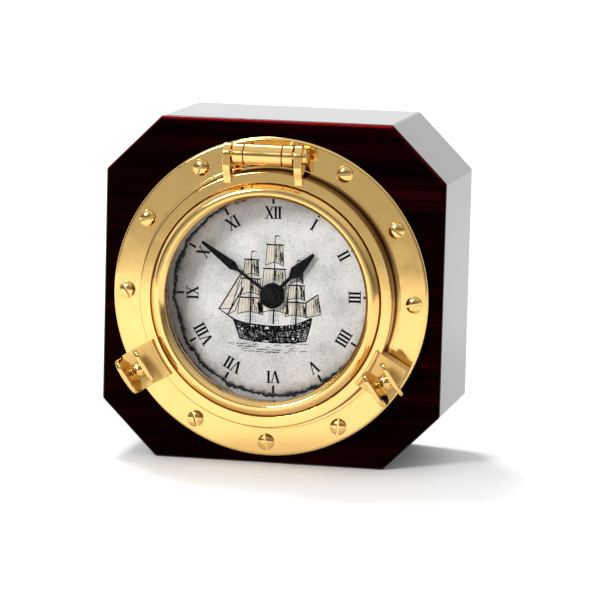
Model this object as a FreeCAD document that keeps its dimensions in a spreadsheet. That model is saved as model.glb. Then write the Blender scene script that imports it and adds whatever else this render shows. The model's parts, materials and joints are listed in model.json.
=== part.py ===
"""Porthole desk clock: a brass opening porthole on an octagonal mahogany block, and a quartz clock behind.

Every piece is drawn in the porthole's own frame: X to the right, Y up and Z out of the wood's front face,
with the origin on the porthole's axis. Its Placement then stands it up in the part's frame, which has +Z up,
the front facing -Y and the origin under the middle of the block. Lengths are millimetres, angles degrees.
"""

import math
import os
import re

import FreeCAD
import Part
import Sketcher

SIZES = {
    # block
    "block_width": 108.0,
    "block_depth": 51.0,
    "overall_depth": 70.0,
    "corner_cut": 17.5,
    "axis_height": 53.0,
    "edge_round": 1.6,
    "dial_recess_radius": 36.0,
    "dial_recess_depth": 3.0,
    "board_depth": 8.0,
    "bush_bore_radius": 3.2,
    "cavity_width": 60.0,
    "cover_width": 76.0,
    "cover_thick": 2.0,
    "cover_screw_reach": 34.0,
    "cover_gap": 0.4,
    "cover_sink_gap": 0.05,
    "cover_sink_margin": 0.2,
    # flange
    "flange_radius": 50.0,
    "flange_thick": 3.0,
    "flange_bore": 33.0,
    "step_radius": 41.3,
    "step_rise": 0.5,
    "flange_round": 0.9,
    "screw_circle": 45.6,
    "screw_head_radius": 2.6,
    "screw_head_rise": 1.35,
    "screw_shank_radius": 1.15,
    "screw_shank_length": 11.0,
    "screw_hole_gap": 0.15,
    "pilot_reserve": 1.0,
    "slot_width": 0.7,
    "slot_depth": 0.75,
    # bezel
    "bezel_radius": 40.0,
    "bezel_back": 3.9,
    "bezel_front": 10.0,
    "band_radius": 36.6,
    "lip_front": 11.9,
    "sight_radius": 31.8,
    "rebate_radius": 35.5,
    "rebate_front": 9.0,
    "seal_inner": 36.7,
    "seal_outer": 38.5,
    "seal_groove": 1.5,
    "lens_thick": 2.0,
    "retainer_thick": 1.9,
    "seal_thick": 0.3,
    "lens_gap": 0.1,
    "groove_gap": 0.1,
    "groove_depth": 0.4,
    "groove_width": 0.7,
    "lip_flank": 2.9,
    "lip_crest": 1.3,
    "lip_fall": 1.2,
    "lip_round": 0.45,
    # hinge
    "hinge_rise": 45.0,
    "hinge_shift": -1.4,
    "hinge_front": 10.0,
    "barrel_radius": 3.35,
    "sleeve_reach": 5.95,
    "knuckle_inner": 6.15,
    "knuckle_outer": 9.5,
    "arm_inner": 10.0,
    "arm_outer": 12.4,
    "arm_radius": 3.6,
    "pin_radius": 1.25,
    "running_gap": 0.05,
    "fit_gap": 0.02,
    "pin_head_radius": 2.5,
    "pin_head_thick": 1.4,
    "bracket_base": 1.5,
    "bracket_depth": 5.2,
    "bracket_inset": 0.1,
    "knuckle_leg": 4.2,
    "foot_length": 4.0,
    "foot_thick": 1.2,
    # dogs
    "dog_circle": 45.4,
    "ear_width": 12.4,
    "ear_reach": 49.3,
    "ear_back": 4.2,
    "ear_shelf": 10.6,
    "ear_round": 1.5,
    "rib_front": 11.5,
    "rib_inner": 37.8,
    "rib_outer": 39.2,
    "dog_shank_radius": 1.5,
    "dog_tip": 0.8,
    "dog_socket_radius": 2.2,
    "hub_radius": 2.7,
    "hub_back": 11.3,
    "wing_back": 12.8,
    "wing_span": 12.0,
    "wing_thick": 1.4,
    "wing_spread": 4.2,
    "wing_lean": 1.5,
    "wing_flare": 1.1,
    "wing_round": 1.8,
    "saddle_thick": 1.4,
    "washer_gap": 0.05,
    "washer_thick": 0.5,
    "washer_radius": 2.65,
    # clock
    "dial_radius": 35.5,
    "dial_thick": 0.6,
    "bush_radius": 2.9,
    "nut_radius": 4.2,
    "nut_thick": 1.2,
    "gasket_thick": 0.6,
    "pipe_radius": 1.65,
    "arbor_radius": 0.9,
    "pipe_gap": 0.08,
    "pipe_tail": 5.0,
    "arbor_tail": 9.0,
    "wheel_thick": 0.8,
    "hour_wheel_radius": 8.6,
    "minute_wheel_radius": 7.2,
    "bush_head": 1.6,
    "bush_head_thick": 1.2,
    "gasket_radius": 11.6,
    "hand_thick": 0.3,
    "hour_hand_front": -0.3,
    "minute_hand_front": 0.4,
    "minute_hand_length": 27.7,
    "hour_hand_length": 18.8,
    "movement_width": 56.0,
    "movement_depth": 16.0,
    "movement_wall": 1.2,
    "movement_lid": 3.0,
    "battery_radius": 7.1,
    "battery_length": 50.0,
    "battery_gap": 0.15,
    "terminal_radius": 2.7,
    "terminal_length": 1.2,
    "battery_drop": 19.2,
    "knob_radius": 5.0,
    "knob_offset": 14.0,
    "knob_thick": 3.6,
    "knob_gap": 0.4,
    "stem_radius": 1.45,
    "stem_hole_radius": 1.55,
    "stem_length": 9.0,
}

# Angles are clockwise from the top, as a clock's hands read.
SCREW_ANGLES = [30, 60, 90, 150, 180, 210, 270, 300, 330]
SLOT_ANGLES = [20, 65, 110, 80, 95, 150, 40, 120, 5]
DOG_ANGLES = {"left": 239, "right": 120.5}
WING_ANGLES = {"left": 145, "right": 145}
MINUTE_HAND_ANGLE = 305.3
HOUR_HAND_ANGLE = 43.5
COVER_CORNERS = [(1, 1, 30), (-1, 1, 75), (-1, -1, 140), (1, -1, 100)]

# Outlines: the screw's dome as (share of head radius, share of rise), a hand's blade as (share of length,
# half width in mm), and the underside of a dog's leaf as (inset from the leaf's side, rise) in mm.
SCREW_DOME = [(1.0, 0.3), (0.9, 0.65), (0.7, 0.88), (0.4, 1.0)]
MINUTE_BLADE = [(0.02, 0.5), (0.48, 0.42), (0.56, 1.45), (1.0, 0.42)]
HOUR_BLADE = [(0.02, 0.6), (0.43, 0.55), (0.57, 2.05), (1.0, 0.45)]
LEAF_UNDERSIDE = [(3.6, -0.5), (-1.0, -0.5), (-1.0, 2.6), (0.0, 2.2), (1.2, 1.2)]

doc = FreeCAD.newDocument("porthole_clock")
sheet = doc.addObject("Spreadsheet::Sheet", "Sizes")
for row, (alias, number) in enumerate(SIZES.items(), start=1):
    sheet.set(f"A{row}", alias)
    sheet.set(f"B{row}", str(number))
    sheet.setAlias(f"B{row}", alias)
doc.recompute()

nodes = []


def bound(text):
    """Turn the sheet's names in an expression into references to its cells."""
    return re.sub(r"\b[a-z]+(_[a-z]+)+\b", r"Sizes.\g<0>", str(text))


def stand_up(piece, turn=0.0):
    """Place a piece: its Z becomes the part's -Y, after a clockwise turn about the porthole's axis."""
    upright = FreeCAD.Rotation(FreeCAD.Vector(1, 0, 0), 90)
    about_axis = FreeCAD.Rotation(FreeCAD.Vector(0, 0, 1), -turn)
    piece.Placement = FreeCAD.Placement(FreeCAD.Vector(0, 0, 0), upright.multiply(about_axis))
    piece.setExpression("Placement.Base.y", bound("overall_depth / 2 - block_depth"))
    piece.setExpression("Placement.Base.z", bound("axis_height"))


def new_body(label, turn=0.0):
    """A body that is one node of the part, standing in the part's frame."""
    body = doc.addObject("PartDesign::Body", label)
    body.Label = label
    stand_up(body, turn)
    nodes.append(body)
    return body


def new_sketch(body, plane, offset="0"):
    """A sketch on one of the body's own origin planes, moved along the plane's normal."""
    base = [feature for feature in body.Origin.OriginFeatures if feature.Role == plane][0]
    sketch = body.newObject("Sketcher::SketchObject", body.Label + "_sketch")
    sketch.AttachmentSupport = [(base, "")]
    sketch.MapMode = "FlatFace"
    sketch.setExpression("AttachmentOffset.Base.z", bound(offset))
    return sketch


def fix_point(sketch, geometry, point, x, y):
    """Hold a point of the sketch at two expressions from the sheet."""
    for kind, text in (("DistanceX", x), ("DistanceY", y)):
        index = sketch.addConstraint(Sketcher.Constraint(kind, -1, 1, geometry, point, 1.0))
        sketch.setExpression(f"Constraints[{index}]", bound(text))


def add_outline(sketch, points):
    """A closed outline of straight lines through points given as expressions."""
    count = len(points)
    first = sketch.GeometryCount
    turns = [2 * math.pi * i / count for i in range(count)]
    start = [FreeCAD.Vector(20 + 10 * math.cos(turn), 10 * math.sin(turn), 0) for turn in turns]
    for i in range(count):
        sketch.addGeometry(Part.LineSegment(start[i], start[(i + 1) % count]), False)
    for i in range(count):
        following = first + (i + 1) % count
        sketch.addConstraint(Sketcher.Constraint("Coincident", first + i, 2, following, 1))
    for i, (x, y) in enumerate(points):
        fix_point(sketch, first + i, 1, x, y)


def add_circle(sketch, radius, x="0", y="0"):
    """A circle whose centre and radius are expressions."""
    index = sketch.addGeometry(Part.Circle(FreeCAD.Vector(5, 5, 0), FreeCAD.Vector(0, 0, 1), 3), False)
    fix_point(sketch, index, 3, x, y)
    constraint = sketch.addConstraint(Sketcher.Constraint("Radius", index, 1.0))
    sketch.setExpression(f"Constraints[{constraint}]", bound(radius))


def add_rectangle(sketch, width, height, x="0", y="0"):
    """A rectangle about a centre."""
    left, right = f"{x} - ({width}) / 2", f"{x} + ({width}) / 2"
    low, high = f"{y} - ({height}) / 2", f"{y} + ({height}) / 2"
    add_outline(sketch, [(left, low), (right, low), (right, high), (left, high)])


def revolve(body, points):
    """Turn a profile of (radius, height) points about the body's Z axis."""
    sketch = new_sketch(body, "XZ_Plane")
    add_outline(sketch, points)
    turned = body.newObject("PartDesign::Revolution", body.Label + "_turned")
    turned.Profile = sketch
    turned.ReferenceAxis = (sketch, ["V_Axis"])
    turned.Angle = 360
    doc.recompute()


def pad(body, plane, draw, base, length):
    """Draw a sketch with draw(sketch) at height base above a plane, and raise it by length."""
    sketch = new_sketch(body, plane, base)
    draw(sketch)
    raised = body.newObject("PartDesign::Pad", body.Label + "_pad")
    raised.Profile = sketch
    raised.setExpression("Length", bound(length))
    doc.recompute()


def pocket(body, plane, draw, top, depth):
    """Draw a sketch with draw(sketch) at height top above a plane, and cut down from it by depth."""
    before = body.Shape.Volume
    sketch = new_sketch(body, plane, top)
    draw(sketch)
    cut = body.newObject("PartDesign::Pocket", body.Label + "_cut")
    cut.Profile = sketch
    cut.setExpression("Length", bound(depth))
    doc.recompute()
    if body.Shape.Volume >= before:
        raise RuntimeError(f"{body.Label}: a pocket removed nothing")


def round_off(body, radius, wanted):
    """Fillet the edges of the body's tip for which wanted(edge) is true."""
    tip = body.Tip
    names = [f"Edge{i + 1}" for i, edge in enumerate(tip.Shape.Edges) if wanted(edge)]
    if not names:
        raise RuntimeError(f"{body.Label}: no edge to round")
    fillet = body.newObject("PartDesign::Fillet", body.Label + "_round")
    fillet.Base = (tip, names)
    fillet.setExpression("Radius", bound(radius))
    doc.recompute()


def size(alias):
    """A number from the sheet, for picking edges."""
    return float(sheet.get(alias))


def is_circle_at(edge, radius, height):
    """Whether an edge is a circle about the body's Z axis, of that radius at that height."""
    if not isinstance(edge.Curve, Part.Circle):
        return False
    return abs(edge.Curve.Radius - radius) < 0.01 and abs(edge.Curve.Center.z - height) < 0.01


def polar(radius, angle):
    """Expressions for a point at a clockwise angle from the top."""
    return f"{radius} * sin({angle} deg)", f"{radius} * cos({angle} deg)"


# ---------------------------------------------------------------- block
def octagon(sketch):
    """The block's outline: a square with its corners cut at 45 degrees, centred a little above the axis."""
    half, flat = "block_width / 2", "(block_width / 2 - corner_cut)"
    middle = "(block_width / 2 - axis_height)"
    corners = []
    for across, up in ((1, 1), (-1, 1), (-1, -1), (1, -1)):
        pair = [
            (f"{across} * {half}", f"{middle} + {up} * {flat}"),
            (f"{across} * {flat}", f"{middle} + {up} * {half}"),
        ]
        corners.extend(pair if across == up else reversed(pair))
    add_outline(sketch, corners)


def square_hole(width):
    """A draw function for a square about the axis."""
    return lambda sketch: add_rectangle(sketch, width, width)


def round_hole(radius, x="0", y="0"):
    """A draw function for one circle."""
    return lambda sketch: add_circle(sketch, radius, x, y)


def screw_holes(radius):
    """A draw function for a circle at each flange screw."""

    def draw(sketch):
        for angle in SCREW_ANGLES:
            add_circle(sketch, radius, *polar("screw_circle", angle))

    return draw


def cover_holes(radius):
    """A draw function for a circle at each corner of the rear cover."""

    def draw(sketch):
        for across, up, _ in COVER_CORNERS:
            add_circle(sketch, radius, f"{across} * cover_screw_reach", f"{up} * cover_screw_reach")

    return draw


def is_upright_corner(edge):
    """Whether an edge is straight and runs along the body's Z axis."""
    ends = [vertex.Point for vertex in edge.Vertexes]
    return len(ends) == 2 and math.hypot(ends[0].x - ends[1].x, ends[0].y - ends[1].y) < 0.001


def make_wood_block():
    """The octagonal block, with the dial's recess in front and the clock's cavity behind."""
    body = new_body("wood_block")
    pad(body, "XY_Plane", octagon, "-block_depth", "block_depth")
    depth = size("block_depth")
    round_off(body, "edge_round", is_upright_corner)
    round_off(
        body,
        "edge_round",
        lambda edge: min(abs(edge.BoundBox.ZMin), abs(edge.BoundBox.ZMin + depth)) < 0.01
        and edge.BoundBox.ZLength < 0.01,
    )
    pocket(body, "XY_Plane", round_hole("dial_recess_radius"), "0", "dial_recess_depth")
    pocket(body, "XY_Plane", round_hole("bush_bore_radius"), "0", "board_depth + 2")
    screw_depth = "screw_shank_length - flange_thick + pilot_reserve"
    pocket(body, "XY_Plane", screw_holes("screw_shank_radius"), "0", screw_depth)
    cavity_depth = "block_depth - board_depth"
    pocket(body, "XY_Plane", square_hole("cavity_width"), "-board_depth", cavity_depth)
    cover_front = "cover_thick - block_depth"
    pocket(body, "XY_Plane", square_hole("cover_width + cover_gap"), cover_front, "cover_thick")
    pilot_depth = "(screw_shank_length + pilot_reserve)"
    pilot_top = f"{pilot_depth} - block_depth"
    pocket(body, "XY_Plane", cover_holes("screw_shank_radius"), pilot_top, pilot_depth)


def make_screw(label, shank_length):
    """A slotted round-head screw, seated at the origin with its shank down the Z axis, to be copied."""
    body = doc.addObject("PartDesign::Body", label)
    body.Label = label
    revolve(
        body,
        [
            ("0", f"-({shank_length})"),
            ("screw_shank_radius", f"-({shank_length})"),
            ("screw_shank_radius", "0"),
            ("screw_head_radius", "0"),
            *[(f"screw_head_radius * {across}", f"screw_head_rise * {up}") for across, up in SCREW_DOME],
            ("0", "screw_head_rise"),
        ],
    )

    def slot(sketch):
        add_rectangle(sketch, "screw_head_radius * 3", "slot_width")

    pocket(body, "XY_Plane", slot, "screw_head_rise", "slot_depth")
    return body


def make_screw_set(label, screw, seats):
    """Copies of one screw as one node; each seat is x, y, height, turn and whether it faces the rear."""
    links = []
    for x, y, height, turn, faces_rear in seats:
        link = doc.addObject("App::Link", f"{label}_{len(links) + 1}")
        link.LinkedObject = screw
        spin = FreeCAD.Rotation(FreeCAD.Vector(0, 0, 1), turn)
        flip = FreeCAD.Rotation(FreeCAD.Vector(0, 1, 0), 180 if faces_rear else 0)
        link.Placement = FreeCAD.Placement(FreeCAD.Vector(0, 0, 0), flip.multiply(spin))
        for axis, text in (("x", x), ("y", y), ("z", height)):
            link.setExpression(f"Placement.Base.{axis}", bound(text))
        links.append(link)
    group = doc.addObject("Part::Compound", label)
    group.Label = label
    group.Links = links
    stand_up(group)
    nodes.append(group)
    doc.recompute()


# ---------------------------------------------------------------- flange
def dog_sockets(radius):
    """A draw function for a circle under each dog's tip."""

    def draw(sketch):
        for angle in DOG_ANGLES.values():
            add_circle(sketch, radius, *polar("dog_circle", angle))

    return draw


def make_base_flange():
    """The fixed brass ring, rounded over at its rim, with a raised step inside."""
    body = new_body("base_flange")
    revolve(
        body,
        [
            ("flange_bore", "0"),
            ("flange_radius", "0"),
            ("flange_radius", "flange_thick"),
            ("step_radius", "flange_thick"),
            ("step_radius", "flange_thick + step_rise"),
            ("flange_bore", "flange_thick + step_rise"),
        ],
    )
    rim, front = size("flange_radius"), size("flange_thick")
    round_off(body, "flange_round", lambda edge: is_circle_at(edge, rim, front))
    hole_radius = "screw_shank_radius + screw_hole_gap"
    pocket(body, "XY_Plane", screw_holes(hole_radius), "flange_thick", "flange_thick")
    pocket(body, "XY_Plane", dog_sockets("dog_socket_radius"), "flange_thick", "flange_thick")


# ---------------------------------------------------------------- bezel
def make_bezel_ring():
    """The opening ring: a flat band, a rounded lip inside it, and a seal groove and lens rebate behind."""
    body = new_body("bezel_ring")
    revolve(
        body,
        [
            ("rebate_radius", "bezel_back"),
            ("seal_inner - groove_gap", "bezel_back"),
            ("seal_inner - groove_gap", "bezel_back + seal_groove"),
            ("seal_outer + groove_gap", "bezel_back + seal_groove"),
            ("seal_outer + groove_gap", "bezel_back"),
            ("bezel_radius", "bezel_back"),
            ("bezel_radius", "bezel_front"),
            ("band_radius", "bezel_front"),
            ("band_radius - groove_width / 2", "bezel_front - groove_depth"),
            ("band_radius - groove_width", "bezel_front + groove_depth"),
            ("sight_radius + lip_flank", "lip_front"),
            ("sight_radius + lip_crest", "lip_front"),
            ("sight_radius", "lip_front - lip_fall"),
            ("sight_radius", "rebate_front"),
            ("rebate_radius", "rebate_front"),
        ],
    )
    edges = [
        (size("bezel_radius"), size("bezel_front")),
        (size("sight_radius") + size("lip_flank"), size("lip_front")),
        (size("sight_radius") + size("lip_crest"), size("lip_front")),
        (size("sight_radius"), size("lip_front") - size("lip_fall")),
    ]

    def is_lip_edge(edge):
        return any(is_circle_at(edge, radius, height) for radius, height in edges)

    round_off(body, "lip_round", is_lip_edge)


def make_ring(label, inner, outer, back, thick):
    """A plain ring about the porthole's axis; an inner radius of "0" makes a disc."""
    body = new_body(label)
    front = f"{back} + {thick}"
    revolve(body, [(inner, back), (outer, back), (outer, front), (inner, front)])
    return body


def make_lens_stack():
    """The lens in its rebate, the seal behind it and the ring that keeps both in."""
    lens_back = "rebate_front - lens_gap - lens_thick"
    lens_edge = "rebate_radius - lens_gap * 2"
    seal_back = f"{lens_back} - seal_thick"
    make_ring("lens", "0", lens_edge, lens_back, "lens_thick")
    make_ring("lens_seal", "sight_radius + seal_thick * 2", lens_edge, seal_back, "seal_thick")
    retainer_back = f"{seal_back} - retainer_thick"
    make_ring("lens_retainer", "sight_radius + seal_thick", "rebate_radius", retainer_back, "retainer_thick")
    groove_seal = "seal_groove + seal_thick"
    make_ring("porthole_seal", "seal_inner", "seal_outer", "bezel_back - seal_thick", groove_seal)


# ---------------------------------------------------------------- hinge
def hinge_circles(*radii):
    """A draw function for circles about the hinge's axis, on a plane across it."""

    def draw(sketch):
        for radius in radii:
            add_circle(sketch, radius, "hinge_rise", "hinge_front")

    return draw


def new_hinge_body(label):
    """A body of the hinge, whose middle lies a little left of the porthole's axis."""
    body = new_body(label)
    body.setExpression("Placement.Base.x", bound("hinge_shift"))
    return body


def make_hinge_arm(label, left_face):
    """One arm of the bezel: an eye round the pin, and a leg down to a foot on the bezel's band."""
    body = new_hinge_body(label)
    width = "(arm_outer - arm_inner)"

    def leg(sketch):
        add_outline(
            sketch,
            [
                ("bezel_radius - foot_length", "bezel_front"),
                ("bezel_radius - 1.0", "bezel_front"),
                ("bezel_radius + 0.4", "bezel_front - 2.2"),
                ("hinge_rise - 1.0", "hinge_front - 3.2"),
                ("hinge_rise", "hinge_front + 3.4"),
                ("hinge_rise - 3.8", "hinge_front + 2.7"),
                ("bezel_radius - foot_length + 1.4", "bezel_front + foot_thick + 0.5"),
                ("bezel_radius - foot_length", "bezel_front + foot_thick"),
            ],
        )

    pad(body, "YZ_Plane", hinge_circles("arm_radius"), left_face, width)
    pad(body, "YZ_Plane", leg, left_face, width)
    pocket(body, "YZ_Plane", hinge_circles("pin_radius + fit_gap / 2"), f"{left_face} + {width}", width)


def make_hinge_bracket():
    """The fixed half of the hinge: a base on the flange and two knuckles."""
    body = new_hinge_body("hinge_bracket")
    knuckle = "(knuckle_outer - knuckle_inner)"

    def base(sketch):
        add_rectangle(sketch, "knuckle_outer * 2", "bracket_depth", "0", "hinge_rise - bracket_inset")

    def leg(sketch):
        height, middle = "hinge_front - flange_thick", "(hinge_front + flange_thick) / 2"
        add_rectangle(sketch, "knuckle_leg", height, "hinge_rise", middle)

    pad(body, "XY_Plane", base, "flange_thick", "bracket_base")
    for left_face in ("-knuckle_outer", "knuckle_inner"):
        pad(body, "YZ_Plane", leg, left_face, knuckle)
        pad(body, "YZ_Plane", hinge_circles("barrel_radius"), left_face, knuckle)
    through = "knuckle_outer * 2"
    pocket(body, "YZ_Plane", hinge_circles("pin_radius + running_gap"), "knuckle_outer", through)


def make_hinge_sleeve():
    """The long barrel between the knuckles, loose on the pin."""
    body = new_hinge_body("hinge_sleeve")
    draw = hinge_circles("barrel_radius", "pin_radius + running_gap")
    pad(body, "YZ_Plane", draw, "-sleeve_reach", "sleeve_reach * 2")


def make_hinge_pin():
    """The pin, flush with the left arm and with a domed head outside the right one."""
    body = new_hinge_body("hinge_pin")
    pad(body, "YZ_Plane", hinge_circles("pin_radius"), "-arm_outer", "arm_outer * 2")
    pad(body, "YZ_Plane", hinge_circles("pin_head_radius"), "arm_outer + fit_gap", "pin_head_thick")
    end = size("arm_outer") + size("fit_gap") + size("pin_head_thick")

    def is_head_rim(edge):
        return abs(edge.BoundBox.XMin - end) < 0.01 and edge.Closed

    round_off(body, "pin_head_thick * 0.7", is_head_rim)


# ---------------------------------------------------------------- dogs
def make_dog_ear(label, angle):
    """An ear of the bezel, drawn with its radius along Y: a low rib, then a plate with the screw's hole."""
    body = new_body(label, angle)

    def side(sketch):
        add_outline(
            sketch,
            [
                ("rib_inner", "ear_back"),
                ("ear_reach", "ear_back"),
                ("ear_reach", "ear_shelf"),
                ("rib_outer", "ear_shelf"),
                ("rib_outer - 0.2", "rib_front"),
                ("rib_inner + 0.5", "rib_front"),
                ("rib_inner", "rib_front - 0.5"),
            ],
        )

    pad(body, "YZ_Plane", side, "-ear_width / 2", "ear_width")
    pocket(body, "XY_Plane", round_hole("bezel_radius + fit_gap"), "bezel_front", "bezel_front")
    pocket(
        body,
        "XY_Plane",
        round_hole("dog_shank_radius + running_gap", "0", "dog_circle"),
        "ear_shelf",
        "ear_shelf",
    )
    reach = size("ear_reach")
    half = size("ear_width") / 2

    def is_outer_corner(edge):
        middle = edge.CenterOfMass
        at_end = abs(middle.y - reach) < 0.01 and abs(abs(middle.x) - half) < 0.01
        return at_end and edge.BoundBox.ZLength > 1

    round_off(body, "ear_round", is_outer_corner)


def make_dog(label, angle, wing_angle):
    """A captive wing screw: a plain shank through the ear, a round hub, and two flared leaf-shaped wings."""
    body = new_body(label, wing_angle)
    body.setExpression("Placement.Base.x", bound(polar("dog_circle", angle)[0]))
    body.setExpression("Placement.Base.z", bound("axis_height + " + polar("dog_circle", angle)[1]))
    revolve(
        body,
        [
            ("0", "dog_tip"),
            ("dog_shank_radius - 0.4", "dog_tip"),
            ("dog_shank_radius", "dog_tip + 0.6"),
            ("dog_shank_radius", "hub_back"),
            ("hub_radius", "hub_back"),
            ("hub_radius", "wing_back + saddle_thick"),
            ("hub_radius - 0.5", "wing_back + 2.6"),
            ("hub_radius - 1.5", "wing_back + 3.4"),
            ("0", "wing_back + 3.6"),
        ],
    )
    tip = "(overall_depth - block_depth)"

    def cradle(sketch):
        add_outline(
            sketch,
            [
                ("-wing_spread + wing_lean", "wing_back"),
                ("wing_spread - wing_lean", "wing_back"),
                ("wing_spread", tip),
                ("wing_spread - wing_thick", tip),
                ("wing_spread - wing_thick - wing_flare", "wing_back + saddle_thick"),
                ("-(wing_spread - wing_thick - wing_flare)", "wing_back + saddle_thick"),
                ("-(wing_spread - wing_thick)", tip),
                ("-wing_spread", tip),
            ],
        )

    def below_leaf(side_sign):
        corners = [
            (f"{side_sign} * (wing_span / 2 - {inset})", f"wing_back + {rise}")
            for inset, rise in LEAF_UNDERSIDE
        ]
        return lambda sketch: add_outline(sketch, corners)

    half_span = "wing_span / 2"
    pad(body, "XZ_Plane", cradle, f"-{half_span}", "wing_span")
    for side_sign in (1, -1):
        pocket(body, "YZ_Plane", below_leaf(side_sign), "wing_spread + 1", "wing_spread * 2 + 2")
    top = size("overall_depth") - size("block_depth")
    reach = size("wing_span") / 2

    def is_leaf_corner(edge):
        middle = edge.CenterOfMass
        return abs(middle.z - top) < 0.01 and abs(abs(middle.y) - reach) < 0.01 and edge.Length < 2

    round_off(body, "wing_round", is_leaf_corner)


def make_dog_washer(label, angle):
    """The thin captive washer under a dog's hub, which moves out and in with the dog but doesn't turn."""
    body = new_body(label)
    body.setExpression("Placement.Base.x", bound(polar("dog_circle", angle)[0]))
    body.setExpression("Placement.Base.z", bound("axis_height + " + polar("dog_circle", angle)[1]))
    back, front = "hub_back - washer_thick - washer_gap", "hub_back - washer_gap"
    inner = "dog_shank_radius + running_gap"
    revolve(body, [(inner, back), ("washer_radius", back), ("washer_radius", front), (inner, front)])


# ---------------------------------------------------------------- clock
def make_hand(label, angle, length, boss_radius, hole_radius, front, leaf):
    """A hand along Y: a round boss and a leaf-shaped blade of (share of length, half width) points."""
    body = new_body(label, angle)
    back = f"{front} - hand_thick"
    right = [(f"{width}", f"{length} * {share}") for share, width in leaf]
    left = [(f"-{x}", y) for x, y in reversed(right)]
    pad(body, "XY_Plane", lambda sketch: add_outline(sketch, right + left), back, "hand_thick")
    pad(body, "XY_Plane", round_hole(boss_radius), back, "hand_thick")
    pocket(body, "XY_Plane", round_hole(hole_radius), front, "hand_thick")


def make_hands():
    """Both hands, the tubes that carry them, the wheels on those tubes and the cap over the middle."""
    make_hand(
        "minute_hand",
        MINUTE_HAND_ANGLE,
        "minute_hand_length",
        "bush_radius",
        "arbor_radius",
        "minute_hand_front",
        MINUTE_BLADE,
    )
    make_hand(
        "hour_hand",
        HOUR_HAND_ANGLE,
        "hour_hand_length",
        "nut_radius - 0.2",
        "pipe_radius",
        "hour_hand_front",
        HOUR_BLADE,
    )
    wheel_back = "-board_depth - gasket_thick"
    pipe_back = f"{wheel_back} - pipe_tail"
    pipe_length = f"hour_hand_front - ({pipe_back})"
    make_ring("hour_pipe", "arbor_radius + pipe_gap", "pipe_radius", pipe_back, pipe_length)
    make_ring("hour_wheel", "pipe_radius", "hour_wheel_radius", pipe_back, "wheel_thick")
    arbor_back = f"{wheel_back} - arbor_tail"
    make_ring("minute_arbor", "0", "arbor_radius", arbor_back, f"minute_hand_front - ({arbor_back})")
    minute_wheel_back = f"{arbor_back} + wheel_thick * 0.75"
    make_ring("minute_wheel", "arbor_radius", "minute_wheel_radius", minute_wheel_back, "wheel_thick")
    cap = new_body("hand_cap")
    revolve(
        cap,
        [
            ("0", "minute_hand_front"),
            ("arbor_radius * 1.8", "minute_hand_front"),
            ("arbor_radius * 1.5", "minute_hand_front + 0.5"),
            ("0", "minute_hand_front + 0.8"),
        ],
    )


def make_dial():
    """The dial sheet on the floor of the recess, and the black nut and threaded bush through its middle."""
    make_ring("dial", "bush_radius + 0.1", "dial_radius", "-dial_recess_depth", "dial_thick")
    nut = new_body("dial_nut")
    nut_front = "dial_thick - dial_recess_depth + nut_thick"

    def hexagon(sketch):
        add_outline(sketch, [polar("nut_radius", angle) for angle in range(0, 360, 60)])

    pad(nut, "XY_Plane", hexagon, "dial_thick - dial_recess_depth", "nut_thick")
    pocket(nut, "XY_Plane", round_hole("bush_radius"), nut_front, "nut_thick")
    bush = new_body("movement_bush")
    inner = "pipe_radius + running_gap"
    shoulder = "-board_depth - gasket_thick - movement_wall"
    revolve(
        bush,
        [
            (inner, f"{shoulder} - bush_head_thick"),
            ("bush_radius + bush_head", f"{shoulder} - bush_head_thick"),
            ("bush_radius + bush_head", shoulder),
            ("bush_radius", shoulder),
            ("bush_radius", nut_front),
            (inner, nut_front),
        ],
    )
    gasket_back = "-board_depth - gasket_thick"
    make_ring("movement_gasket", "bush_radius", "gasket_radius", gasket_back, "gasket_thick")


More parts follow.
